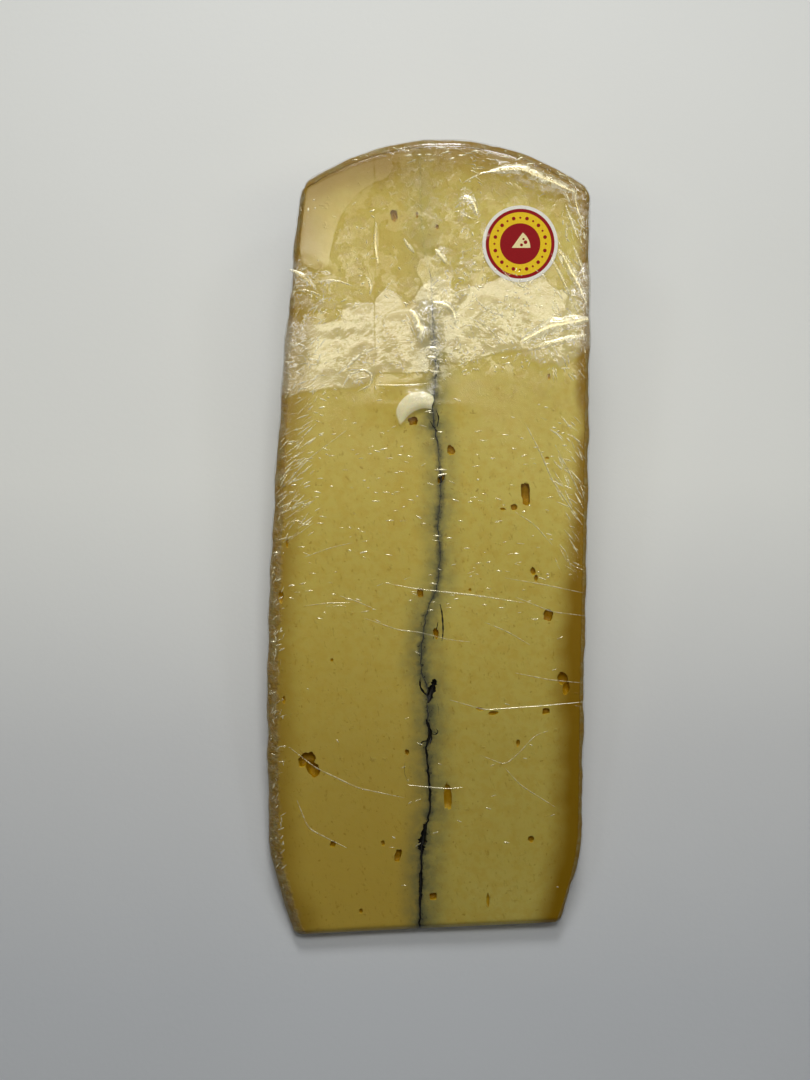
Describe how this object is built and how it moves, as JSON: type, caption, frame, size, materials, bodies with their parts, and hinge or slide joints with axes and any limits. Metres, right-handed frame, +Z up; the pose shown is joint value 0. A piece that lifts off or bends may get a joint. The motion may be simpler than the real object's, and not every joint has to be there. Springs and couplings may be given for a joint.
{
  "type": "film-wrapped wedge of morbier cheese",
  "caption": "Long wedge of washed-rind cow's cheese with a line of ash through its middle, in clear film with a round label.",
  "frame": {"origin": "on the table, below the middle of the piece's own box", "axes": "+Y along the wheel's radius from the thin tip to the heel, +Z up, +X across the wheel's thickness"},
  "size_m": [0.0756, 0.1856, 0.0451],
  "materials": {
    "curd": "supple pale yellow curd with small eyes, darker towards an orange-brown rind",
    "ash": "blue-black line of ash with a grey-green halo in the curd",
    "film": "clear cling film drawn tight, with fine wrinkles and sharp glints",
    "label": "round glossy paper label in white, dark red and yellow"
  },
  "bodies": {
    "root": {"paste_left": "curd", "paste_right": "curd", "ash_layer": "ash", "film_wrap": "film", "label": "label"}
  },
  "joints": []
}
